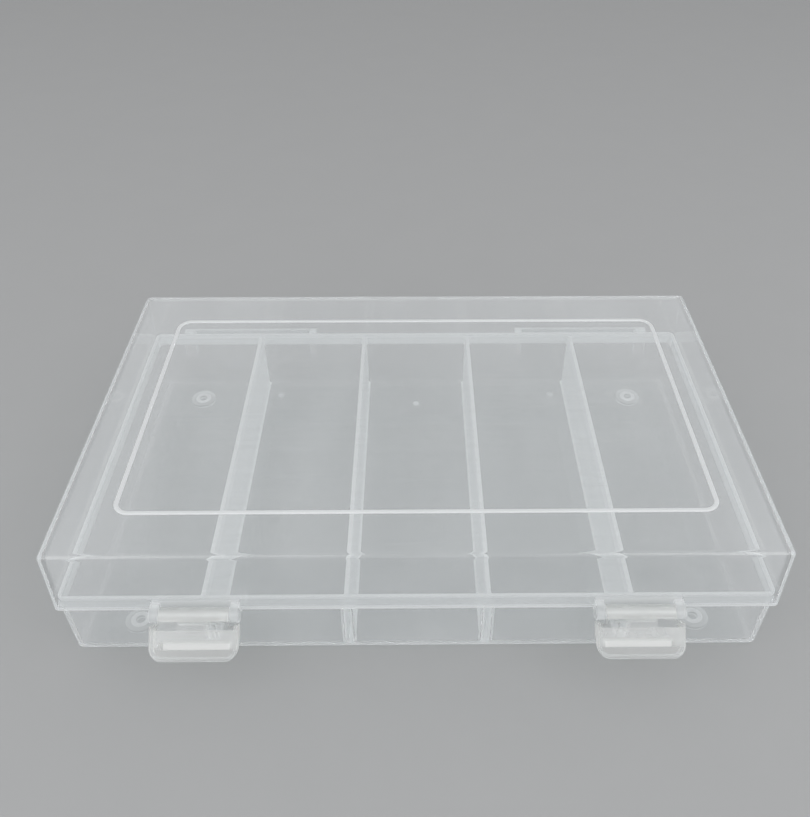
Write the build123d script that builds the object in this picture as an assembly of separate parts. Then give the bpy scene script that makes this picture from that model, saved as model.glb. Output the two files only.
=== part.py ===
"""Five-compartment storage box with a deep hinged lid and two front latches.

Moulded polypropylene, in four pieces: a tray, a lid that turns on two long
snap hinges behind it, and two latches that turn on pins under the lid's
front edge and hook below two catches on the tray.

Millimetres.  The origin is the centre of the underside of the tray's floor,
+X runs along the width, +Y points to the hinges and +Z points up.
"""

import os
from math import cos, radians, sin, tan

from build123d import *

# ---- Overall sizes -------------------------------------------------------
box_width = 211.4          # outside the lid's skirt, at its lower edge
box_depth = 131.0          # outside the lid's skirt, at its lower edge
box_height = 44.3          # underside of the floor to the top of the lid
parting_height = 21.6      # lower edge of the lid's skirt
rim_overlap = 4.2          # how far the tray's rim stands up inside the lid

# ---- Lid -----------------------------------------------------------------
lid_wall = 1.3
lid_plate = 1.5
lid_draft = 1.4            # lean of the skirt, degrees
lid_corner = 1.9           # corner radius in plan, outside
lid_top_round = 1.6        # round between the top plate and the skirt
lid_inner_corner = 0.6     # corner radius in plan, inside
lid_inner_round = 0.5      # between the plate and the skirt, inside
bead_width = 1.4           # raised line around the lid's top
bead_height = 0.45
bead_chamfer = 0.3
bead_corner = 4.4
bead_side_margin = 17.7    # from the lid's side to the middle of the bead
bead_front_margin = 16.8
bead_rear_margin = 18.4

# ---- Tray ----------------------------------------------------------------
compartments = 5
floor_thickness = 1.5
tray_wall = 1.7            # below the parting line
rim_wall = 1.0             # the thinner rim inside the lid
tray_draft = 1.6           # lean of the outside, degrees
tray_corner = 2.2          # corner radius in plan, outside
pocket_draft = 0.5         # lean of every compartment's walls, degrees
divider_top = 1.3          # thickness of a divider along its top edge
divider_drop = 1.0         # from the rim down to the dividers' top edges
pocket_round = 1.4         # upright corners and floor edges of a compartment
tray_bottom_round = 2.0
lid_clearance = 0.2        # lid to tray, around the rim and at the shoulder

# ---- Feet and mould marks on the floor -----------------------------------
foot_diameter = 9.2
foot_bore = 3.2
foot_height = 0.6
foot_side_inset = 18.6     # from the box's side to the middle of a foot
foot_end_inset = 12.8      # from the box's front or rear
gate_diameter = 3.2        # shallow well where the plastic entered the mould
gate_depth = 0.3
gate_rear_inset = 16.6
ejector_diameter = 2.6     # shallow wells inside, in the second and fourth compartments
ejector_depth = 0.2
ejector_side_inset = 50.3
ejector_rear_inset = 11.0

# ---- Rear hinges ---------------------------------------------------------
hinge_length = 46.0        # the lid's barrel, along X
hinge_side_inset = 16.5    # from the box's side to the barrel's outer end
hinge_pin = 3.0            # diameter of the tray's pin
hinge_barrel_wall = 0.95
hinge_axis_rise = 0.8      # axis above the parting line
hinge_gap = 0.4            # lid's skirt to barrel circle
hinge_bridge_rise = 4.5    # axis to the top of the barrel's bridge, on the skirt
hinge_ear_outer = 4.4      # thickness of the ear at the box's side
hinge_ear_inner = 2.4
hinge_end_gap = 0.25       # barrel to ear, along X
hinge_mouth = 50.0         # half angle of the barrel's open side, degrees
pin_clearance = 0.05       # radial, for both kinds of pin

# ---- Front latches -------------------------------------------------------
latch_inset = 41.75        # from the box's side to the latch's middle
latch_width = 25.1
latch_reach = 12.8         # pin's axis to the lower edge
latch_corner = 3.6
latch_plate = 1.7
latch_neck = 1.0           # thinner strip between the barrel and the plate
latch_neck_low = 4.4       # pin's axis to the neck's lower end
latch_side_wall = 1.1
latch_side_depth = 4.2     # depth of the side walls at the top
latch_side_low = 6.5       # pin's axis to where the side walls start to narrow
latch_edge_chamfer = 0.4
latch_lip = 3.1            # plate left below the hook
latch_pin = 2.2            # diameter of the lid's pins
latch_barrel_wall = 1.05
latch_barrel_length = 20.0
latch_axis_rise = 1.3      # axis above the parting line
latch_gap = 0.5            # lid's skirt to barrel circle
latch_ear = 2.7            # thickness of the lid's ears
latch_ear_gap = 0.2        # ear to barrel, along X
latch_ear_clearance = 0.7  # ear to plate, around the axis
latch_mouth = 50.0
latch_swing = 42.0         # how far the latches stand swung out, degrees
hook_thickness = 2.0
hook_width = 20.0
hook_nose = 0.7            # thickness at the tip, which leads over the catch
hook_wall_gap = 0.5        # hook's nose to the tray's wall, closed
catch_width = 12.0
catch_height = 3.0
catch_depth = 2.0          # how far it stands out of the tray's wall
catch_nose = 1.0           # height of its upright tip, below the slope
catch_gap = 0.25           # hook to catch, closed

# ---- Worked-out sizes ----------------------------------------------------
fuse = 0.6                 # how deep a joined feature reaches into its wall
half_width = box_width / 2
half_depth = box_depth / 2
lid_lean = tan(radians(lid_draft))
tray_lean = tan(radians(tray_draft))
pocket_lean = tan(radians(pocket_draft))
rim_height = parting_height + rim_overlap
shoulder_height = parting_height - lid_clearance
rim_width = box_width - 2 * (lid_wall + lid_clearance)
rim_depth = box_depth - 2 * (lid_wall + lid_clearance)
rim_top_width = rim_width - 2 * lid_lean * (rim_height - shoulder_height)
rim_top_depth = rim_depth - 2 * lid_lean * (rim_height - shoulder_height)
well_width = rim_top_width - 2 * rim_wall
well_depth = rim_top_depth - 2 * rim_wall
divider_height = rim_height - divider_drop
pocket_width = (well_width - (compartments - 1) * divider_top) / compartments
pocket_pitch = pocket_width + divider_top
lower_width = well_width + 2 * (tray_wall - pocket_lean * rim_overlap)
lower_depth = well_depth + 2 * (tray_wall - pocket_lean * rim_overlap)

hinge_radius = hinge_pin / 2 + pin_clearance + hinge_barrel_wall
hinge_y = half_depth + hinge_gap + hinge_radius
hinge_z = parting_height + hinge_axis_rise
hinge_x = half_width - hinge_side_inset - hinge_length / 2

latch_radius = latch_pin / 2 + pin_clearance + latch_barrel_wall
latch_y = -(half_depth + latch_gap + latch_radius)
latch_z = parting_height + latch_axis_rise
latch_x = half_width - latch_inset
latch_plate_top = latch_radius + latch_ear_clearance
hook_top = latch_reach - latch_lip - hook_thickness
catch_low = latch_z - hook_top + catch_gap


def leaning_block(width, depth, corner, low, high, lean_degrees):
    """Block with rounded corners, sized at its lower face; a positive lean narrows it going up."""
    outline = Pos(0, 0, low) * RectangleRounded(width, depth, corner)
    return extrude(outline, high - low, taper=lean_degrees)


def edges_at(solid, height):
    """Edges that lie level at one height."""
    return solid.edges().filter_by(lambda edge: abs(edge.bounding_box().min.Z - height) < 1e-4
                                   and abs(edge.bounding_box().max.Z - height) < 1e-4)


def side_profile(points, length, x_middle):
    """Extrude an outline of (y, z) points along X, centred on x_middle."""
    outline = make_face(Polyline([(0, y, z) for y, z in points], close=True))
    return Pos(x_middle, 0, 0) * extrude(outline, length / 2, dir=(1, 0, 0), both=True)


def cross_bar(radius, length, x_middle, y, z):
    """Round bar along X."""
    return Pos(x_middle, y, z) * Rot(0, 90, 0) * Cylinder(radius, length)


def mouth_wedge(radius, half_angle, direction, length):
    """Wedge along X from the axis outwards; direction is measured from +Y towards +Z."""
    reach = 2 * radius
    points = [(0, 0)]
    for angle in (direction - half_angle, direction, direction + half_angle):
        points.append((reach * cos(radians(angle)), reach * sin(radians(angle))))
    return side_profile(points, length, 0)


# ---- Tray ----------------------------------------------------------------
def tray_shell():
    """Outside of the tray: the lower body, its shoulder and the rim above it."""
    body_drop = 2 * tray_lean * shoulder_height
    body = leaning_block(lower_width - body_drop, lower_depth - body_drop, tray_corner,
                         0, shoulder_height, -tray_draft)
    body = fillet(edges_at(body, 0), tray_bottom_round)
    rim = leaning_block(rim_width, rim_depth, tray_corner, shoulder_height - fuse, rim_height, lid_draft)
    return body + rim


def pocket(x_middle):
    """Hollow of one compartment, filleted along the floor."""
    drop = 2 * pocket_lean * (rim_height - floor_thickness)
    outline = Pos(x_middle, 0, floor_thickness) * Rectangle(pocket_width - drop, well_depth - drop)
    hollow = extrude(outline, rim_height - floor_thickness, taper=-pocket_draft)
    top_edges = edges_at(hollow, rim_height)
    return fillet([edge for edge in hollow.edges() if edge not in top_edges], pocket_round)


def ring_foot(x, y):
    """Low ring under the floor, which the box stands on."""
    ring = Circle(foot_diameter / 2) - Circle(foot_bore / 2)
    return extrude(Pos(x, y, -foot_height) * ring, foot_height + fuse)


def hinge_ear(x_middle, thickness):
    """Bracket behind the tray that carries one end of a hinge pin."""
    wall_y = half_depth - lid_wall - lid_clearance - fuse
    corner = hinge_radius * sin(radians(45))
    rear_y = hinge_y + corner
    rear_z = hinge_z - corner
    arm = side_profile([
        (wall_y, rear_z - (rear_y - wall_y)),
        (wall_y, shoulder_height),
        (hinge_y, shoulder_height),
        (rear_y, rear_z),
    ], thickness, x_middle)
    return arm + cross_bar(hinge_radius, thickness, x_middle, hinge_y, hinge_z)


def hinge_fixed_half(side):
    """The tray's half of one hinge: a pin between two ears."""
    inner_x = hinge_x - hinge_length / 2 - hinge_end_gap - hinge_ear_inner / 2
    outer_x = hinge_x + hinge_length / 2 + hinge_end_gap + hinge_ear_outer / 2
    pin = cross_bar(hinge_pin / 2, outer_x - inner_x, side * (inner_x + outer_x) / 2, hinge_y, hinge_z)
    return hinge_ear(side * inner_x, hinge_ear_inner) + hinge_ear(side * outer_x, hinge_ear_outer) + pin


def catch(side):
    """Ledge on the tray's front wall that a latch hooks under."""
    wall_y = -(lower_depth / 2 - tray_lean * (shoulder_height - catch_low))
    nose_y = wall_y - catch_depth
    return side_profile([
        (wall_y + fuse, catch_low),
        (nose_y, catch_low),
        (nose_y, catch_low + catch_nose),
        (wall_y, catch_low + catch_height),
        (wall_y + fuse, catch_low + catch_height),
    ], catch_width, side * latch_x)


def make_tray():
    """Tray with its dividers, feet, hinge pins and catches, moulded as one piece."""
    tray = tray_shell()
    well = Pos(0, 0, divider_height) * Rectangle(well_width, well_depth)
    tray -= extrude(well, rim_height - divider_height)
    for index in range(compartments):
        tray -= pocket((index - (compartments - 1) / 2) * pocket_pitch)
    for side in (-1, 1):
        tray += hinge_fixed_half(side)
        tray += catch(side)
        for end in (-1, 1):
            tray += ring_foot(side * (half_width - foot_side_inset), end * (half_depth - foot_end_inset))
    gate_y = half_depth - gate_rear_inset
    tray -= Pos(0, gate_y, 0) * Cylinder(gate_diameter / 2, 2 * gate_depth)
    for side in (-1, 1):
        mark = Pos(side * (half_width - ejector_side_inset), half_depth - ejector_rear_inset, floor_thickness)
        tray -= mark * Cylinder(ejector_diameter / 2, 2 * ejector_depth)
    return tray


# ---- Lid -----------------------------------------------------------------
def lid_shell():
    """Top plate and deep skirt."""
    outside = leaning_block(box_width, box_depth, lid_corner, parting_height, box_height, lid_draft)
    outside = fillet(edges_at(outside, box_height), lid_top_round)
    ceiling = box_height - lid_plate
    inside = leaning_block(box_width - 2 * lid_wall, box_depth - 2 * lid_wall, lid_inner_corner,
                           parting_height, ceiling, lid_draft)
    inside = fillet(edges_at(inside, ceiling), lid_inner_round)
    return outside - inside


def top_bead():
    """Raised line around the lid's top, as a rounded rectangle."""
    length = box_width - 2 * bead_side_margin
    depth = box_depth - bead_front_margin - bead_rear_margin
    y_middle = (bead_front_margin - bead_rear_margin) / 2
    outer = RectangleRounded(length + bead_width, depth + bead_width, bead_corner + bead_width / 2)
    inner = RectangleRounded(length - bead_width, depth - bead_width, bead_corner - bead_width / 2)
    base = box_height - lid_plate / 2
    bead = extrude(Pos(0, y_middle, base) * (outer - inner), bead_height + lid_plate / 2)
    return chamfer(edges_at(bead, box_height + bead_height), bead_chamfer)


def hinge_barrel(side):
    """The lid's half of one hinge: a barrel, open below, that snaps over the pin."""
    barrel = cross_bar(hinge_radius, hinge_length, side * hinge_x, hinge_y, hinge_z)
    skirt_y = half_depth - lid_wall / 2
    bridge = side_profile([
        (skirt_y, parting_height),
        (skirt_y, hinge_z + hinge_bridge_rise),
        (hinge_y, hinge_z + hinge_radius),
        (hinge_y, parting_height),
    ], hinge_length, side * hinge_x)
    bore = cross_bar(hinge_pin / 2 + pin_clearance, hinge_length, side * hinge_x, hinge_y, hinge_z)
    mouth = mouth_wedge(hinge_radius, hinge_mouth, -90, hinge_length)
    return barrel + bridge - bore - Pos(side * hinge_x, hinge_y, hinge_z) * mouth


def latch_bearing(side):
    """Pin between two ears, below the lid's front edge, that one latch turns on."""
    skirt_y = -(half_depth - lid_wall / 2)
    offset = latch_barrel_length / 2 + latch_ear_gap + latch_ear / 2
    bearing = cross_bar(latch_pin / 2, 2 * offset, side * latch_x, latch_y, latch_z)
    for end in (-1, 1):
        x_middle = side * latch_x + end * offset
        bearing += cross_bar(latch_radius, latch_ear, x_middle, latch_y, latch_z)
        bearing += side_profile([
            (skirt_y, parting_height),
            (latch_y, latch_z - latch_radius),
            (latch_y, latch_z + latch_radius),
            (skirt_y, latch_z + latch_radius),
        ], latch_ear, x_middle)
    return bearing


def make_lid():
    """Lid with its bead, hinge barrels and latch pins, moulded as one piece."""
    lid = lid_shell() + top_bead()
    for side in (-1, 1):
        lid += hinge_barrel(side)
        lid += latch_bearing(side)
    return lid


# ---- Latch ---------------------------------------------------------------
def latch_outline(width, low, corner):
    """Face of the latch seen from the front: square above, rounded below, centred on its pin."""
    height = low - latch_plate_top
    face = Rectangle(width, height)
    face = fillet(face.vertices().group_by(Axis.Y)[0], corner)
    return Plane.XZ * Pos(0, -(latch_plate_top + height / 2)) * face


def make_latch():
    """One latch, closed, with its pin's axis through the origin and its face towards -Y."""
    front_y = -latch_radius
    back_y = front_y + latch_side_depth
    plate_back = front_y + latch_plate
    neck_back = front_y + latch_neck
    face = Pos(0, front_y, 0) * latch_outline(latch_width, latch_reach, latch_corner)
    body = extrude(face, latch_side_depth, dir=(0, 1, 0))
    body = chamfer(body.faces().sort_by(Axis.Y)[0].edges(), latch_edge_chamfer)
    body &= side_profile([
        (front_y, -latch_plate_top),
        (back_y, -latch_plate_top),
        (back_y, -latch_side_low),
        (plate_back, -latch_reach),
        (front_y, -latch_reach),
    ], latch_width, 0)

    room = latch_width - 2 * latch_side_wall
    hollow = latch_outline(room, latch_reach - latch_side_wall, latch_corner - latch_side_wall)
    body -= extrude(Pos(0, plate_back, 0) * hollow, latch_side_depth, dir=(0, 1, 0))
    neck_height = latch_neck_low - latch_plate_top
    neck_cut = Box(room, latch_side_depth, 2 * neck_height)
    body -= Pos(0, neck_back + latch_side_depth / 2, -latch_plate_top) * neck_cut

    barrel = cross_bar(latch_radius, latch_barrel_length, 0, 0, 0)
    web = side_profile([
        (front_y, 0),
        (neck_back, 0),
        (neck_back, -latch_neck_low),
        (front_y, -latch_neck_low),
    ], latch_barrel_length, 0)
    nose_y = -latch_y - (lower_depth / 2 - tray_lean * (shoulder_height - catch_low)) - hook_wall_gap
    hook = side_profile([
        (plate_back - latch_plate / 2, -hook_top),
        (nose_y, -hook_top),
        (nose_y, -hook_top - hook_nose),
        (plate_back, -hook_top - hook_thickness),
        (plate_back - latch_plate / 2, -hook_top - hook_thickness),
    ], hook_width, 0)
    bore = cross_bar(latch_pin / 2 + pin_clearance, latch_barrel_length, 0, 0, 0)
    mouth = mouth_wedge(latch_radius, latch_mouth, 0, latch_barrel_length)
    return body + barrel + web + hook - bore - mouth


def placed_latch(side):
    """Latch on its pin, swung out by its resting angle."""
    return Pos(side * latch_x, latch_y, latch_z) * Rot(-latch_swing, 0, 0) * make_latch()


def main():
    """Build every piece and write one STEP file for each."""
    os.makedirs("parts", exist_ok=True)
    pieces = {
        "tray": make_tray(),
        "lid": make_lid(),
        "latch_left": placed_latch(-1),
        "latch_right": placed_latch(1),
    }
    for name, piece in pieces.items():
        export_step(piece, f"parts/{name}.step")


main()
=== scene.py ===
"""Clear bead box with a hinged lid: finishes, studio and camera around the fixed frame."""

import logging
import math
from dataclasses import dataclass, replace
from enum import Enum

import bpy
import numpy as np
from mathutils import Matrix, Vector


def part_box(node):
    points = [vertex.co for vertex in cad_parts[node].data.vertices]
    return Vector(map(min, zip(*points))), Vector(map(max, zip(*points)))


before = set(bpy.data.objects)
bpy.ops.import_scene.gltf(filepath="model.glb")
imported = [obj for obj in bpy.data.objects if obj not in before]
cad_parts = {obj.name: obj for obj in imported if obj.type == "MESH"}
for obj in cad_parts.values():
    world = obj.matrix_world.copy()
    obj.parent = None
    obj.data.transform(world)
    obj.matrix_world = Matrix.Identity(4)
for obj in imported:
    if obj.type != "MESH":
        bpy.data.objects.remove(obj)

log = logging.getLogger("bead_box")
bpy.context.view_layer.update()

Colour = tuple[float, float, float]
Point = tuple[float, float, float]
Span = tuple[float, float]

# Further out than any piece, in metres: the open end of a range.
FAR = 1.0
# A normal's X part, between a face that looks elsewhere and one that looks along X.
SIDEWAYS: Span = (0.6, 0.95)


class Zone(Enum):
    """The box's kinds of moulding, by the word that their finishes are named with."""

    TRAY = "tray"
    LID = "lid"
    LATCH = "latch"


class Graph:
    """A node tree with short calls for making and joining nodes."""

    def __init__(self, tree: bpy.types.NodeTree) -> None:
        """Start on an emptied tree.

        Args:
            tree: the material's or the group's node tree.
        """
        self.tree = tree
        tree.nodes.clear()

    def node(self, kind: str, **settings: object) -> bpy.types.Node:
        """Add a node.

        Args:
            kind: the node's Blender type, such as "ShaderNodeMath".
            settings: attributes to set on it.

        Returns:
            The new node.
        """
        made = self.tree.nodes.new(kind)
        for name, value in settings.items():
            setattr(made, name, value)
        return made

    def join(self, source: bpy.types.NodeSocket, target: bpy.types.NodeSocket) -> None:
        """Link an output to an input."""
        self.tree.links.new(source, target)

    def feed(self, target: bpy.types.NodeSocket, value: object) -> None:
        """Link the value if it is an output, or else set it on the input itself."""
        if isinstance(value, bpy.types.NodeSocket):
            self.join(value, target)
        else:
            target.default_value = value

    def math(self, operation: str, *values: object, clamp: bool = False) -> bpy.types.NodeSocket:
        """Add a Math node.

        Args:
            operation: its operation, such as "MULTIPLY".
            values: outputs or plain numbers for its inputs, in order.
            clamp: whether the result is kept between 0 and 1.

        Returns:
            Its output.
        """
        made = self.node("ShaderNodeMath", operation=operation, use_clamp=clamp)
        for index, value in enumerate(values):
            self.feed(made.inputs[index], value)
        return made.outputs[0]

    def ramp(self, value: object, low: object, high: object, start: float, end: float) -> bpy.types.NodeSocket:
        """Map a value along an S-shaped curve.

        Args:
            value: the value to map.
            low: where the curve starts.
            high: where the curve ends.
            start: the result at low and below.
            end: the result at high and above.

        Returns:
            The mapped value.
        """
        made = self.node("ShaderNodeMapRange", interpolation_type="SMOOTHSTEP")
        parts = {"Value": value, "From Min": low, "From Max": high, "To Min": start, "To Max": end}
        for name, part in parts.items():
            self.feed(made.inputs[name], part)
        return made.outputs["Result"]

    def split(self, vector: bpy.types.NodeSocket) -> bpy.types.bpy_prop_collection:
        """Take a vector apart and return its outputs X, Y and Z."""
        made = self.node("ShaderNodeSeparateXYZ")
        self.join(vector, made.inputs["Vector"])
        return made.outputs

    def noise(self, where: bpy.types.NodeSocket, scale: object, detail: float) -> bpy.types.NodeSocket:
        """Add a Noise Texture.

        Args:
            where: the coordinates it reads.
            scale: features per metre.
            detail: how many finer layers it adds.

        Returns:
            Its factor, from 0 to 1.
        """
        made = self.node("ShaderNodeTexNoise", noise_dimensions="3D")
        self.join(where, made.inputs["Vector"])
        self.feed(made.inputs["Scale"], scale)
        made.inputs["Detail"].default_value = detail
        return made.outputs["Fac"]


def new_group(name: str, inputs: dict[str, tuple[str, object]], outputs: dict[str, str]) -> tuple[
        bpy.types.NodeTree, Graph, bpy.types.Node, bpy.types.Node]:
    """Make an empty shader node group with named sockets.

    Args:
        name: the group's name.
        inputs: for each input its socket type and its usual value.
        outputs: for each output its socket type.

    Returns:
        The group, its graph, its input node and its output node.
    """
    group = bpy.data.node_groups.new(name, "ShaderNodeTree")
    graph = Graph(group)
    for label, (kind, usual) in inputs.items():
        socket = group.interface.new_socket(label, in_out="INPUT", socket_type=kind)
        if usual is not None:
            socket.default_value = usual
    for label, kind in outputs.items():
        group.interface.new_socket(label, in_out="OUTPUT", socket_type=kind)
    return group, graph, graph.node("NodeGroupInput"), graph.node("NodeGroupOutput")


class PlasticEffects:
    """The node groups that the box's finishes share, each built once."""

    def __init__(self) -> None:
        """Build every group."""
        self.flow = self._flow()
        self.handling = self._handling()
        self.block = self._block()
        self.spot = self._spot()
        self.rib = self._rib()

    @staticmethod
    def _flow() -> bpy.types.NodeTree:
        """Slow waves, streaks and fine lines of a moulded face.

        The height is two noises, one broad and one stretched along Y.  The streak
        mask is the stretched one through an S-shaped curve.  The lines are a fine
        noise drawn out along X, and on a face that looks along X along Y too.

        Returns:
            The group, with the outputs Height, Streak and Line.
        """
        group, graph, given, result = new_group(
            "Moulding flow",
            {"Vector": ("NodeSocketVector", None), "Normal": ("NodeSocketVector", None),
             "Wave Scale": ("NodeSocketFloat", 28.0), "Streak Scale": ("NodeSocketFloat", 60.0),
             "Line Scale": ("NodeSocketFloat", 450.0)},
            {"Height": "NodeSocketFloat", "Streak": "NodeSocketFloat", "Line": "NodeSocketFloat"})
        streak_stretch, streak_height, line_stretch = 0.18, 0.25, 0.015
        broad = graph.noise(given.outputs["Vector"], given.outputs["Wave Scale"], 1.0)
        stretch = graph.node("ShaderNodeMapping")
        stretch.inputs["Scale"].default_value = (1.0, streak_stretch, 1.0)
        graph.join(given.outputs["Vector"], stretch.inputs["Vector"])
        streak = graph.noise(stretch.outputs["Vector"], given.outputs["Streak Scale"], 1.0)
        height = graph.math("ADD", broad, graph.math("MULTIPLY", streak, streak_height))
        graph.join(height, result.inputs["Height"])
        graph.join(graph.ramp(streak, 0.35, 0.7, 0.0, 1.0), result.inputs["Streak"])
        place, facing = graph.split(given.outputs["Vector"]), graph.split(given.outputs["Normal"])
        sideways = graph.ramp(graph.math("ABSOLUTE", facing["X"]), *SIDEWAYS, 1.0, line_stretch)
        drawn = graph.node("ShaderNodeCombineXYZ")
        graph.join(graph.math("MULTIPLY", place["X"], line_stretch), drawn.inputs["X"])
        graph.join(graph.math("MULTIPLY", place["Y"], sideways), drawn.inputs["Y"])
        graph.join(place["Z"], drawn.inputs["Z"])
        lines = graph.noise(drawn.outputs["Vector"], given.outputs["Line Scale"], 2.0)
        graph.join(graph.ramp(lines, 0.4, 0.7, 0.0, 1.0), result.inputs["Line"])
        return group

    @staticmethod
    def _handling() -> bpy.types.NodeTree:
        """Fine rub marks and hairline scratches from handling.

        The rub mask is a fine noise, kept only where a broad noise is high.  The
        scratches are the thin lines along which a long, stretched noise passes
        its middle value, broken up by the broad noise.

        Returns:
            The group, with the outputs Rub and Scratch.
        """
        group, graph, given, result = new_group(
            "Handling marks",
            {"Vector": ("NodeSocketVector", None), "Fine Scale": ("NodeSocketFloat", 380.0),
             "Patch Scale": ("NodeSocketFloat", 35.0), "Scratch Scale": ("NodeSocketFloat", 120.0)},
            {"Rub": "NodeSocketFloat", "Scratch": "NodeSocketFloat"})
        fine = graph.noise(given.outputs["Vector"], given.outputs["Fine Scale"], 3.0)
        patch = graph.noise(given.outputs["Vector"], given.outputs["Patch Scale"], 2.0)
        rub = graph.math("MULTIPLY", graph.ramp(fine, 0.45, 0.75, 0.0, 1.0), graph.ramp(patch, 0.4, 0.7, 0.0, 1.0))
        graph.join(rub, result.inputs["Rub"])
        scratch = None
        for angle, stretch in ((0.35, (1.0, 0.05, 1.0)), (-0.2, (0.05, 1.0, 1.0))):
            turned = graph.node("ShaderNodeMapping")
            turned.inputs["Rotation"].default_value = (0.0, 0.0, angle)
            turned.inputs["Scale"].default_value = stretch
            graph.join(given.outputs["Vector"], turned.inputs["Vector"])
            long_noise = graph.noise(turned.outputs["Vector"], given.outputs["Scratch Scale"], 0.0)
            off_middle = graph.math("ABSOLUTE", graph.math("SUBTRACT", long_noise, 0.5))
            line = graph.ramp(off_middle, 0.001, 0.008, 1.0, 0.0)
            scratch = line if scratch is None else graph.math("MAXIMUM", scratch, line)
        kept = graph.math("MULTIPLY", scratch, graph.ramp(patch, 0.5, 0.62, 0.0, 1.0))
        graph.join(kept, result.inputs["Scratch"])
        return group

    @staticmethod
    def _block() -> bpy.types.NodeTree:
        """Upright block between two corners, faded on every side, with its mirror image about a middle X.

        Returns:
            The group, with the output Mask.
        """
        group, graph, given, result = new_group(
            "Frost and painted glow block",
            {"Vector": ("NodeSocketVector", None), "Low": ("NodeSocketVector", None),
             "High": ("NodeSocketVector", None), "Middle": ("NodeSocketFloat", 0.0),
             "Fade": ("NodeSocketFloat", 0.0004)},
            {"Mask": "NodeSocketFloat"})
        place, low, high = (graph.split(given.outputs[name]) for name in ("Vector", "Low", "High"))
        fade = given.outputs["Fade"]
        mask = None
        for axis in "XYZ":
            value = place[axis]
            if axis == "X":
                value = graph.math("ABSOLUTE", graph.math("SUBTRACT", value, given.outputs["Middle"]))
            over = graph.ramp(value, graph.math("SUBTRACT", low[axis], fade), low[axis], 0.0, 1.0)
            under = graph.ramp(value, high[axis], graph.math("ADD", high[axis], fade), 1.0, 0.0)
            both = graph.math("MULTIPLY", over, under)
            mask = both if mask is None else graph.math("MULTIPLY", mask, both)
        graph.join(mask, result.inputs["Mask"])
        return group

    @staticmethod
    def _rib() -> bpy.types.NodeTree:
        """Faces that look along X, such as a divider's, within a reach of the middle.

        Returns:
            The group, with the output Mask.
        """
        group, graph, given, result = new_group(
            "Rib faces",
            {"Vector": ("NodeSocketVector", None), "Normal": ("NodeSocketVector", None),
             "Reach X": ("NodeSocketFloat", 1.0), "Reach Y": ("NodeSocketFloat", 1.0)},
            {"Mask": "NodeSocketFloat"})
        place, facing = graph.split(given.outputs["Vector"]), graph.split(given.outputs["Normal"])
        mask = graph.ramp(graph.math("ABSOLUTE", facing["X"]), *SIDEWAYS, 0.0, 1.0)
        for axis in "XY":
            aside = graph.math("ABSOLUTE", place[axis])
            mask = graph.math("MULTIPLY", mask, graph.math("LESS_THAN", aside, given.outputs["Reach " + axis]))
        graph.join(mask, result.inputs["Mask"])
        return group

    @staticmethod
    def _spot() -> bpy.types.NodeTree:
        """Round mark or ring around an upright axis, with its mirror image about X = 0.

        The mask is 1 between the inner and the outer radius, below a height.  The
        ripple is a cosine of the radius that dies away outside the mark.

        Returns:
            The group, with the outputs Mask and Ripple.
        """
        group, graph, given, result = new_group(
            "Round mark",
            {"Vector": ("NodeSocketVector", None), "Centre X": ("NodeSocketFloat", 0.0),
             "Centre Y": ("NodeSocketFloat", 0.0), "Inner": ("NodeSocketFloat", 0.0),
             "Outer": ("NodeSocketFloat", 0.001), "Fade": ("NodeSocketFloat", 0.0003),
             "Ripple Length": ("NodeSocketFloat", 0.0011), "High": ("NodeSocketFloat", FAR)},
            {"Mask": "NodeSocketFloat", "Ripple": "NodeSocketFloat"})
        place = graph.split(given.outputs["Vector"])
        aside = graph.math("SUBTRACT", graph.math("ABSOLUTE", place["X"]), given.outputs["Centre X"])
        along = graph.math("SUBTRACT", place["Y"], given.outputs["Centre Y"])
        radius = graph.math("SQRT", graph.math("ADD", graph.math("MULTIPLY", aside, aside),
                                               graph.math("MULTIPLY", along, along)))
        inner, outer, fade = (given.outputs[name] for name in ("Inner", "Outer", "Fade"))
        beyond = graph.ramp(radius, graph.math("SUBTRACT", inner, fade), inner, 0.0, 1.0)
        within = graph.ramp(radius, outer, graph.math("ADD", outer, fade), 1.0, 0.0)
        level = graph.math("LESS_THAN", place["Z"], given.outputs["High"])
        mask = graph.math("MULTIPLY", graph.math("MULTIPLY", beyond, within), level)
        graph.join(mask, result.inputs["Mask"])
        turns = graph.math("DIVIDE", radius, given.outputs["Ripple Length"])
        wave = graph.math("COSINE", graph.math("MULTIPLY", turns, 2 * math.pi))
        dying = graph.ramp(radius, outer, graph.math("MULTIPLY", outer, 4.0), 1.0, 0.0)
        graph.join(graph.math("MULTIPLY", wave, dying), result.inputs["Ripple"])
        return group

    @staticmethod
    def place(graph: Graph, group: bpy.types.NodeTree, where: bpy.types.NodeSocket,
              values: dict[str, object]) -> bpy.types.Node:
        """Put one of the groups into a material, with that material's own values.

        Returns:
            The group's node.
        """
        made = graph.node("ShaderNodeGroup", node_tree=group)
        graph.join(where, made.inputs["Vector"])
        for name, value in values.items():
            made.inputs[name].default_value = value
        return made


@dataclass(frozen=True)
class FrostAndPaintedGlow:
    """Place on a moulding that is milkier than the rest, or clearer where its share is negative. A few are frosted
    moulding marks; most paint the glow of lit edges and bands, and highlights, as milkiness.
    """

    share: float
    ripple: float = 0.0

    def add(self, graph: Graph, effects: PlasticEffects, where: bpy.types.NodeSocket) -> bpy.types.Node:
        """Place the group that draws the place.

        Args:
            graph: the material's graph.
            effects: the shared node groups.
            where: the moulding's own coordinates.

        Returns:
            The group's node, with the output Mask, and Ripple where the place has one.
        """
        raise NotImplementedError


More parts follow.
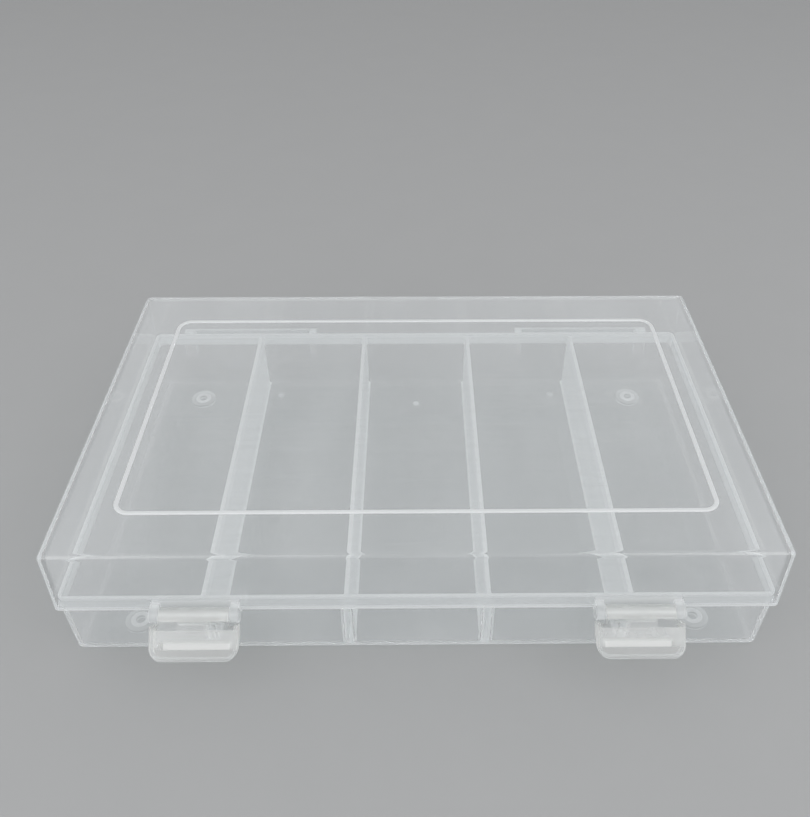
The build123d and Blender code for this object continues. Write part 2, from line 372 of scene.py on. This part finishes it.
@dataclass(frozen=True)
class Block(FrostAndPaintedGlow):
    """Milky block between two places on each axis, in metres, with its mirror image about a middle X; most such
    blocks paint the glow of lit edges and bands as milkiness.
    """

    x: Span = (-FAR, FAR)
    y: Span = (-FAR, FAR)
    z: Span = (-FAR, FAR)
    middle: float = 0.0
    fade: float = 0.0004

    def add(self, graph: Graph, effects: PlasticEffects, where: bpy.types.NodeSocket) -> bpy.types.Node:
        """Place the block's group and return its node."""
        low, high = zip(self.x, self.y, self.z)
        return effects.place(graph, effects.block, where,
                             {"Low": low, "High": high, "Middle": self.middle, "Fade": self.fade})


@dataclass(frozen=True)
class Ribs(FrostAndPaintedGlow):
    """Milky faces that look along X, within a reach of the middle, in metres; on the tray's dividers they are
    painted reflection.
    """

    reach_x: float = FAR
    reach_y: float = FAR

    def add(self, graph: Graph, effects: PlasticEffects, where: bpy.types.NodeSocket) -> bpy.types.Node:
        """Place the faces' group and return its node."""
        made = effects.place(graph, effects.rib, where, {"Reach X": self.reach_x, "Reach Y": self.reach_y})
        graph.join(graph.node("ShaderNodeTexCoord").outputs["Normal"], made.inputs["Normal"])
        return made


@dataclass(frozen=True)
class Spot(FrostAndPaintedGlow):
    """Frosted round mark or ring, in metres, with its mirror image about X = 0."""

    x: float = 0.0
    y: float = 0.0
    inner: float = 0.0
    outer: float = 0.001
    high: float = FAR

    def add(self, graph: Graph, effects: PlasticEffects, where: bpy.types.NodeSocket) -> bpy.types.Node:
        """Place the mark's group and return its node."""
        values = {"Centre X": self.x, "Centre Y": self.y, "Inner": self.inner, "Outer": self.outer,
                  "High": self.high}
        return effects.place(graph, effects.spot, where, values)


@dataclass(frozen=True)
class Turn:
    """How a moulding hangs: turned about a line along X, beside its mirror image about X = 0."""

    x: float
    y: float
    z: float
    angle_deg: float

    def undo(self, graph: Graph, where: bpy.types.NodeSocket) -> bpy.types.NodeSocket:
        """Turn coordinates upright, and measure them from the moulding's middle on that line."""
        turned = graph.node("ShaderNodeVectorRotate", rotation_type="X_AXIS")
        graph.join(where, turned.inputs["Vector"])
        turned.inputs["Center"].default_value = (0.0, self.y, self.z)
        turned.inputs["Angle"].default_value = math.radians(self.angle_deg)
        place = graph.split(turned.outputs["Vector"])
        local = graph.node("ShaderNodeCombineXYZ")
        aside = graph.math("ABSOLUTE", place["X"])
        for axis, value, middle in (("X", aside, self.x), ("Y", place["Y"], self.y), ("Z", place["Z"], self.z)):
            graph.join(graph.math("SUBTRACT", value, middle), local.inputs[axis])
        return local.outputs["Vector"]


@dataclass(frozen=True)
class ClearPlastic:
    """Finish of a moulded, slightly milky, see-through plastic.

    Each face shares its light between a clear shader, which bends and mirrors,
    and a milky one, which scatters to both sides.  The share of the milky one
    grows at frosted moulding marks, where a face is seen along its length, in flow
    streaks, in fine lines, in rub marks and in scratches.  It also grows along lit
    edges and bands, on the bead and where light is caught inside the plastic: there
    the milkiness is painted glow and painted highlight.  The milky one sends part of
    its light on through the face.
    """

    name: str
    tint: Colour
    milk: Colour
    haze: float
    streak_haze: float
    line_haze: float
    rub_haze: float
    scratch_haze: float
    painted_caught_glow: float
    glancing_haze: float
    passing_share: float
    roughness: float
    rub_roughness: float
    wave_height: float
    shadow_tint: Colour
    refraction: float = 1.49
    milky_roughness: float = 0.35

    def material(self, effects: PlasticEffects, frost_and_painted_glow: tuple[FrostAndPaintedGlow, ...], turn: Turn | None) -> bpy.types.Material:
        """Build the material.

        Args:
            effects: the shared node groups.
            frost_and_painted_glow: the milky places of the moulding that wears it, frosted marks and painted glow
                of lit edges and bands.
            turn: how the moulding hangs, if it isn't upright, as its milky places are drawn on it upright.

        Returns:
            The finished material.
        """
        made = bpy.data.materials.new(self.name)
        made.use_nodes = True
        graph = Graph(made.node_tree)
        coordinates = graph.node("ShaderNodeTexCoord")
        place = coordinates.outputs["Object"]
        flow = effects.place(graph, effects.flow, place, {})
        graph.join(coordinates.outputs["Normal"], flow.inputs["Normal"])
        handling = effects.place(graph, effects.handling, place, {})
        rub = handling.outputs["Rub"]
        upright = turn.undo(graph, place) if turn else place
        shares = [(flow.outputs["Streak"], self.streak_haze), (flow.outputs["Line"], self.line_haze),
                  (rub, self.rub_haze), (handling.outputs["Scratch"], self.scratch_haze),
                  (self._caught(graph), self.painted_caught_glow), (self._glancing(graph), self.glancing_haze)]
        height = flow.outputs["Height"]
        # Each milky place adds its share: frosted marks, and painted glow and highlights along lit edges and
        # bands.
        for area in frost_and_painted_glow:
            drawn = area.add(graph, effects, upright)
            shares.append((drawn.outputs["Mask"], area.share))
            if area.ripple:
                height = graph.math("MULTIPLY_ADD", drawn.outputs["Ripple"], area.ripple, height)
        bump = graph.node("ShaderNodeBump")
        bump.inputs["Strength"].default_value = 1.0
        bump.inputs["Distance"].default_value = self.wave_height
        graph.join(height, bump.inputs["Height"])

        clear = graph.node("ShaderNodeBsdfPrincipled")
        clear.inputs["Base Color"].default_value = (*self.tint, 1.0)
        graph.join(graph.ramp(rub, 0.0, 1.0, self.roughness, self.rub_roughness), clear.inputs["Roughness"])
        clear.inputs["IOR"].default_value = self.refraction
        clear.inputs["Transmission Weight"].default_value = 1.0
        graph.join(bump.outputs["Normal"], clear.inputs["Normal"])

        milky = graph.node("ShaderNodeBsdfPrincipled")
        milky.inputs["Base Color"].default_value = (*self.milk, 1.0)
        milky.inputs["Roughness"].default_value = self.milky_roughness
        through = graph.node("ShaderNodeBsdfTranslucent")
        through.inputs["Color"].default_value = (*self.milk, 1.0)
        cloud = graph.node("ShaderNodeMixShader")
        cloud.inputs["Fac"].default_value = self.passing_share
        graph.join(milky.outputs["BSDF"], cloud.inputs[1])
        graph.join(through.outputs["BSDF"], cloud.inputs[2])

        body = graph.node("ShaderNodeMixShader")
        graph.join(self._total(graph, shares), body.inputs["Fac"])
        graph.join(clear.outputs["BSDF"], body.inputs[1])
        graph.join(cloud.outputs["Shader"], body.inputs[2])

        light_path = graph.node("ShaderNodeLightPath")
        unseen = graph.math("MAXIMUM", light_path.outputs["Is Shadow Ray"], light_path.outputs["Is Diffuse Ray"])
        passing = graph.node("ShaderNodeBsdfTransparent")
        passing.inputs["Color"].default_value = (*self.shadow_tint, 1.0)
        both = graph.node("ShaderNodeMixShader")
        graph.join(unseen, both.inputs["Fac"])
        graph.join(body.outputs["Shader"], both.inputs[1])
        graph.join(passing.outputs["BSDF"], both.inputs[2])
        output = graph.node("ShaderNodeOutputMaterial")
        graph.join(both.outputs["Shader"], output.inputs["Surface"])
        return made

    @staticmethod
    def _facing(graph: Graph) -> bpy.types.NodeSocket:
        """Add a Layer Weight and return its Facing: 0 seen straight on, 1 seen along the face."""
        weight = graph.node("ShaderNodeLayerWeight")
        weight.inputs["Blend"].default_value = 0.5
        return weight.outputs["Facing"]

    def _caught(self, graph: Graph) -> bpy.types.NodeSocket:
        """Mask of the hits, inside the plastic, that mirror the light back in; the milky share there is painted
        glow of that caught light.
        """
        inside = graph.node("ShaderNodeNewGeometry").outputs["Backfacing"]
        slanting: Span = (0.22, 0.45)
        return graph.math("MULTIPLY", inside, graph.ramp(self._facing(graph), *slanting, 0.0, 1.0))

    def _glancing(self, graph: Graph) -> bpy.types.NodeSocket:
        """Mask of the outer faces that are seen along their length."""
        inside = graph.node("ShaderNodeNewGeometry").outputs["Backfacing"]
        outside = graph.math("SUBTRACT", 1.0, inside)
        return graph.math("MULTIPLY", outside, graph.math("POWER", self._facing(graph), 3.0))

    def _total(self, graph: Graph, shares: list[tuple[bpy.types.NodeSocket, float]]) -> bpy.types.NodeSocket:
        """Add up the share of the milky shader.

        Args:
            graph: the material's graph.
            shares: each mask with the share that it adds where it is 1.

        Returns:
            The share, from 0 to 1.
        """
        total: object = self.haze
        for mask, share in shares:
            if share:
                total = graph.math("MULTIPLY_ADD", mask, share, total, clamp=True)
        return total


@dataclass(frozen=True)
class Moulding:
    """One moulded piece of the box, carried over from the frame."""

    node: str
    zone: Zone

    def frost_and_painted_glow(self) -> tuple[FrostAndPaintedGlow, ...]:
        """List the milky places, frosted marks and painted glow; a plain moulding has none."""
        return ()

    def turn(self) -> Turn | None:
        """Give the turn that the moulding hangs at; an upright moulding has none."""
        return None

    def dress(self, finish: ClearPlastic, effects: PlasticEffects) -> None:
        """Give the piece its finish in every slot.

        Args:
            finish: the plastic that the piece is made of.
            effects: the shared node groups.
        """
        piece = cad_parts[self.node]
        finish = replace(finish, name=f"{finish.name} {self.zone.value}")
        made = bpy.data.materials.get(finish.name) or finish.material(effects, self.frost_and_painted_glow(), self.turn())
        if not piece.data.materials:
            piece.data.materials.append(made)
        for slot in piece.material_slots:
            slot.material = made
        low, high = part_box(self.node)
        size = [round(1000 * (far - near), 1) for near, far in zip(low, high)]
        log.info("%s (%s): %s mm, finish %s", self.node, self.zone.value, size, finish.name)


@dataclass(frozen=True)
class Tray(Moulding):
    """The tray: dividers, rim, outer floor edges, ring feet, gate mark and ejector marks."""

    node: str = "tray"
    zone: Zone = Zone.TRAY
    half_depth: float = 0.0646
    floor_edge: tuple[float, float] = (0.1022, 0.0620)
    floor_edge_height: float = 0.0020
    overlap: Span = (0.0214, 0.0258)
    rear_wall: float = 0.0600
    rim_top: float = 0.0254
    divider_places: Span = (0.0208, 0.0622)
    divider_reach: float = 0.097
    divider_front: float = -0.0626
    divider_top: Span = (0.0245, 0.0250)
    divider_foot_half: float = 0.0018
    divider_foot: Span = (0.0017, 0.0024)
    foot_place: tuple[float, float] = (0.0871, 0.0527)
    foot_radii: tuple[float, float, float] = (0.0016, 0.0029, 0.0046)
    gate_y: float = 0.0489
    gate_radius: float = 0.0011
    ejector_place: tuple[float, float] = (0.0554, 0.0545)
    ejector_radius: float = 0.0013
    mark_height: float = 0.0030

    def frost_and_painted_glow(self) -> tuple[FrostAndPaintedGlow, ...]:
        """List the milky places: painted reflection on the dividers' faces, painted glow along their feet and
        tops, the rim, its overlap and the outer floor edges, and the frosted ring feet and marks.
        """
        return self._walls() + self._marks()

    def _walls(self) -> tuple[FrostAndPaintedGlow, ...]:
        """List the dividers with their feet and tops, the rim, its overlap and the outer edges of the floor."""
        edge_x, edge_y = self.floor_edge
        half, below = self.divider_foot_half, (-FAR, self.floor_edge_height)
        # Painted glow: the dividers' foot fillets drawn as milky bright lines.
        feet = tuple(Block(share=0.95, x=(middle - half, middle + half), y=(-edge_y, edge_y), z=self.divider_foot,
                           fade=0.0002) for middle in self.divider_places)
        return feet + (
            # Painted reflection on the dividers' faces; painted glow along the dividers' tops, the rim top, the
            # overlap bands and the floor's outer edges, all drawn as milkiness.
            Ribs(share=0.72, reach_x=self.divider_reach, reach_y=self.half_depth),
            Block(share=0.95, x=(-FAR, self.divider_reach), y=(self.divider_front, FAR), z=self.divider_top,
                  fade=0.0002),
            Block(share=0.8, z=(self.rim_top, FAR)),
            Block(share=0.3, z=self.overlap),
            Block(share=0.3, y=(self.rear_wall, FAR), z=self.overlap),
            Block(share=0.1, x=(edge_x, FAR), z=below),
            Block(share=0.3, y=(-FAR, -edge_y), z=below),
        )

    def _marks(self) -> tuple[FrostAndPaintedGlow, ...]:
        """List the ring feet, the gate mark and the ejector marks."""
        foot_x, foot_y = self.foot_place
        ejector_x, ejector_y = self.ejector_place
        bore, bright, outer = self.foot_radii
        high = self.mark_height
        rings = tuple(Spot(share=share, x=foot_x, y=y, inner=bore, outer=reach, high=high)
                      for y in (foot_y, -foot_y) for share, reach in ((0.38, outer), (0.32, bright)))
        return rings + (
            Spot(share=0.5, ripple=0.6, y=self.gate_y, outer=self.gate_radius, high=high),
            Spot(share=0.25, x=ejector_x, y=ejector_y, outer=self.ejector_radius, high=high),
        )


@dataclass(frozen=True)
class Lid(Moulding):
    """The lid: raised bead, edges of the top and the skirt, walls at the latches, hinge barrels."""

    node: str = "lid"
    zone: Zone = Zone.LID
    bead_base: float = 0.0444
    top_edge: tuple[float, float] = (0.1025, 0.0623)
    top_edge_base: float = 0.0427
    skirt_outside: float = 0.0657
    skirt_foot: float = 0.0221
    latch_wall: Span = (0.0216, 0.0258)
    latch: Span = (0.0516, 0.0763)
    hinge: Span = (0.0432, 0.0892)

    def frost_and_painted_glow(self) -> tuple[FrostAndPaintedGlow, ...]:
        """List the milky places: painted highlight on the bead, painted glow along the skirt's foot and on the
        hinge barrels, and a milkier rear top edge and walls at the latches; the side edges and the front's upright
        corners are clearer.
        """
        edge_x, edge_y = self.top_edge
        outside, upper = self.skirt_outside, (self.top_edge_base, FAR)
        return (
            # Painted highlight on the bead and painted glow along the skirt's foot, drawn as milkiness.
            Block(share=0.8, z=(self.bead_base, FAR), fade=0.00006),
            Block(share=0.9, y=(-outside, outside), z=(-FAR, self.skirt_foot)),
            Block(share=-0.4, x=(edge_x, FAR), z=upper),
            Block(share=-0.4, x=(edge_x, FAR), y=(-FAR, -edge_y), z=(self.skirt_foot, self.top_edge_base)),
            Block(share=0.2, y=(edge_y, FAR), z=upper),
            Block(share=0.5, x=self.latch, y=(-outside, -edge_y), z=self.latch_wall),
            Block(share=0.2, x=self.latch, y=(-FAR, -outside)),
            # Painted glow on the hinge barrels, drawn as milkiness.
            Block(share=0.9, x=self.hinge, y=(outside, FAR)),
        )


@dataclass(frozen=True)
class Latch(Moulding):
    """One front latch, which hangs open on its pin; its milky places are drawn on it closed, from the pin's axis.
    """

    zone: Zone = Zone.LATCH
    axis: Point = (0.06395, -0.0682, 0.0229)
    swing_deg: float = 42.0
    barrel_base: float = -0.0015
    neck: Span = (-0.0037, -0.0018)
    neck_corner: Span = (0.0050, 0.0115)
    hook: Span = (-0.0092, -0.0077)
    hook_glow: Span = (-0.0084, -0.0077)
    hook_middle: float = -0.0011
    hook_half_width: float = 0.0093
    lip_top: float = -0.0095

    def frost_and_painted_glow(self) -> tuple[FrostAndPaintedGlow, ...]:
        """List the milky places, sides, barrel and hook bar, where the bar and its soft fringe are painted glow;
        the neck and the lip are clearer.
        """
        hook_x = (-FAR, self.hook_half_width)
        return (
            Ribs(share=0.5),
            Block(share=0.07, z=(self.barrel_base, FAR), fade=0.0004),
            Block(share=-0.12, z=self.neck, fade=0.0003),
            Block(share=-0.4, x=self.neck_corner, z=self.neck, fade=0.0004),
            # Painted glow of the hook bar and its soft fringe, drawn as milkiness where the bar shows bright,
            # which is not quite on the moulded hook.
            Block(share=0.32, x=hook_x, z=self.hook, middle=self.hook_middle, fade=0.0003),
            Block(share=0.1, x=hook_x, z=self.hook_glow, middle=self.hook_middle, fade=0.0012),
            Block(share=-0.1, z=(-FAR, self.lip_top), fade=0.0002),
        )

    def turn(self) -> Turn:
        """Give the turn that the latch hangs at."""
        return Turn(*self.axis, self.swing_deg)


@dataclass(frozen=True)
class SoftLamp:
    """Square soft lamp: its place, the point it faces and its side in metres, its power in watts."""

    name: str
    place: Point
    side: float
    power: float
    aim: Point = (0.0, 0.0, 0.02)

    def hang(self) -> None:
        """Make the lamp and turn it to its aim."""
        data = bpy.data.lights.new(self.name, "AREA")
        data.shape = "SQUARE"
        data.size = self.side
        data.energy = self.power
        lamp = bpy.data.objects.new(self.name, data)
        lamp.location = self.place
        lamp.rotation_mode = "QUATERNION"
        lamp.rotation_quaternion = (Vector(self.aim) - Vector(self.place)).to_track_quat("-Z", "Y")
        bpy.context.scene.collection.objects.link(lamp)


@dataclass(frozen=True)
class Studio:
    """Pale floor, soft lamps and plain surroundings."""

    floor_height: float = -0.0006
    floor_half: float = 3.0
    floor_colour: Colour = (0.38, 0.385, 0.39)
    floor_grain: float = 0.015
    floor_grain_scale: float = 40.0
    floor_roughness: float = 0.8
    world_colour: Colour = (1.0, 1.0, 1.0)
    world_strength: float = 0.58
    lamps: tuple[SoftLamp, ...] = (
        SoftLamp("key", (-0.75, -0.6, 0.7), side=1.3, power=6.8),
        SoftLamp("fill", (0.8, -0.6, 0.65), side=1.2, power=7.5),
    )

    def build(self) -> None:
        """Make the floor, the world and the lamps."""
        self._floor()
        self._world()
        for lamp in self.lamps:
            lamp.hang()

    def _floor(self) -> None:
        """Lay the floor, a square at the height of the feet."""
        half, high = self.floor_half, self.floor_height
        corners = np.array([[-half, -half, high], [half, -half, high], [half, half, high], [-half, half, high]])
        mesh = bpy.data.meshes.new("floor")
        mesh.from_pydata(corners.tolist(), [], [(0, 1, 2, 3)])
        floor = bpy.data.objects.new("floor", mesh)
        bpy.context.scene.collection.objects.link(floor)
        mesh.materials.append(self._floor_finish())

    def _floor_finish(self) -> bpy.types.Material:
        """Make the floor's material, whose colour wavers a little along a noise.

        Returns:
            The material.
        """
        made = bpy.data.materials.new("pale floor")
        made.use_nodes = True
        graph = Graph(made.node_tree)
        place = graph.node("ShaderNodeTexCoord").outputs["Object"]
        tint = graph.node("ShaderNodeMix", data_type="RGBA")
        graph.join(graph.noise(place, self.floor_grain_scale, 3.0), tint.inputs["Factor"])
        for name, share in (("A", 1.0 - self.floor_grain), ("B", 1.0 + self.floor_grain)):
            tint.inputs[name].default_value = (*[share * part for part in self.floor_colour], 1.0)
        shader = graph.node("ShaderNodeBsdfPrincipled")
        graph.join(tint.outputs["Result"], shader.inputs["Base Color"])
        shader.inputs["Roughness"].default_value = self.floor_roughness
        output = graph.node("ShaderNodeOutputMaterial")
        graph.join(shader.outputs["BSDF"], output.inputs["Surface"])
        return made

    def _world(self) -> None:
        """Set the even light from all round."""
        world = bpy.data.worlds.new("studio")
        world.use_nodes = True
        graph = Graph(world.node_tree)
        sky = graph.node("ShaderNodeBackground")
        sky.inputs["Color"].default_value = (*self.world_colour, 1.0)
        sky.inputs["Strength"].default_value = self.world_strength
        output = graph.node("ShaderNodeOutputWorld")
        graph.join(sky.outputs["Background"], output.inputs["Surface"])
        bpy.context.scene.world = world


@dataclass(frozen=True)
class ViewingCamera:
    """Camera that looks down on the box from the front."""

    focal_px: float = 866.758
    image_px: tuple[int, int] = (810, 817)
    centre_px: tuple[float, float] = (421.285, 371.07)
    pitch_deg: float = 38.39
    yaw_deg: float = -0.627
    roll_deg: float = 0.142
    place: Point = (-0.000807, -0.220162, 0.232125)
    sensor_mm: float = 36.0
    clip: Span = (0.01, 50.0)

    def build(self) -> None:
        """Make the camera and use it for the scene."""
        data = bpy.data.cameras.new("camera")
        long_side = max(self.image_px)
        data.sensor_width = self.sensor_mm
        data.lens = self.focal_px / long_side * self.sensor_mm
        data.shift_x = (self.image_px[0] / 2 - self.centre_px[0]) / long_side
        data.shift_y = (self.centre_px[1] - self.image_px[1] / 2) / long_side
        data.clip_start, data.clip_end = self.clip
        camera = bpy.data.objects.new("camera", data)
        bpy.context.scene.collection.objects.link(camera)
        camera.matrix_world = Matrix.Translation(self.place) @ self._turn().to_4x4()
        bpy.context.scene.camera = camera

    def _turn(self) -> Matrix:
        """Work out the camera's turn.

        The rows of the product roll x pitch x yaw are the picture's right, down
        and forward directions; the camera's own axes are right, up and back.

        Returns:
            The 3 by 3 turn.
        """
        angles = np.radians([self.pitch_deg, self.yaw_deg, self.roll_deg])
        (cos_pitch, cos_yaw, cos_roll), (sin_pitch, sin_yaw, sin_roll) = np.cos(angles), np.sin(angles)
        yaw = np.array([[cos_yaw, sin_yaw, 0], [-sin_yaw, cos_yaw, 0], [0, 0, 1]])
        pitch = np.array([[1, 0, 0], [0, -sin_pitch, -cos_pitch], [0, cos_pitch, -sin_pitch]])
        roll = np.array([[cos_roll, -sin_roll, 0], [sin_roll, cos_roll, 0], [0, 0, 1]])
        right, down, forward = roll @ pitch @ yaw
        return Matrix(np.column_stack([right, -down, -forward]).tolist())


def set_light_paths() -> None:
    """Set the plain view, and let light through enough walls of clear plastic."""
    scene = bpy.context.scene
    scene.view_settings.view_transform = "Standard"
    scene.cycles.max_bounces = 32
    scene.cycles.transmission_bounces = 32
    scene.cycles.transparent_max_bounces = 64
    scene.cycles.caustics_reflective = False
    scene.cycles.caustics_refractive = False


def main() -> None:
    """Dress the box, light it and set the camera."""
    logging.basicConfig(level=logging.INFO, format="%(name)s: %(message)s")
    set_light_paths()
    effects = PlasticEffects()
    # In both plastics the caught share paints the glow of light caught inside the plastic as milkiness.
    clear = ClearPlastic("clear plastic", tint=(0.985, 0.988, 0.992), milk=(0.93, 0.945, 0.96), haze=0.11,
                         streak_haze=0.04, line_haze=0.025, rub_haze=0.02, scratch_haze=0.05, painted_caught_glow=0.5,
                         glancing_haze=0.12, passing_share=0.35, roughness=0.03, rub_roughness=0.06,
                         wave_height=0.00002, shadow_tint=(0.93, 0.94, 0.94))
    milky = ClearPlastic("milky plastic", tint=(0.98, 0.98, 0.98), milk=(0.96, 0.965, 0.965), haze=0.25,
                         streak_haze=0.05, line_haze=0.0, rub_haze=0.04, scratch_haze=0.0, painted_caught_glow=0.5,
                         glancing_haze=0.4, passing_share=0.3, roughness=0.12, rub_roughness=0.2,
                         wave_height=0.00003, shadow_tint=(0.8, 0.81, 0.8))
    Tray().dress(replace(clear, line_haze=0.0), effects)
    Lid().dress(clear, effects)
    Latch("latch_left").dress(milky, effects)
    Latch("latch_right").dress(milky, effects)
    Studio().build()
    ViewingCamera().build()


if __name__ == "__main__":
    main()
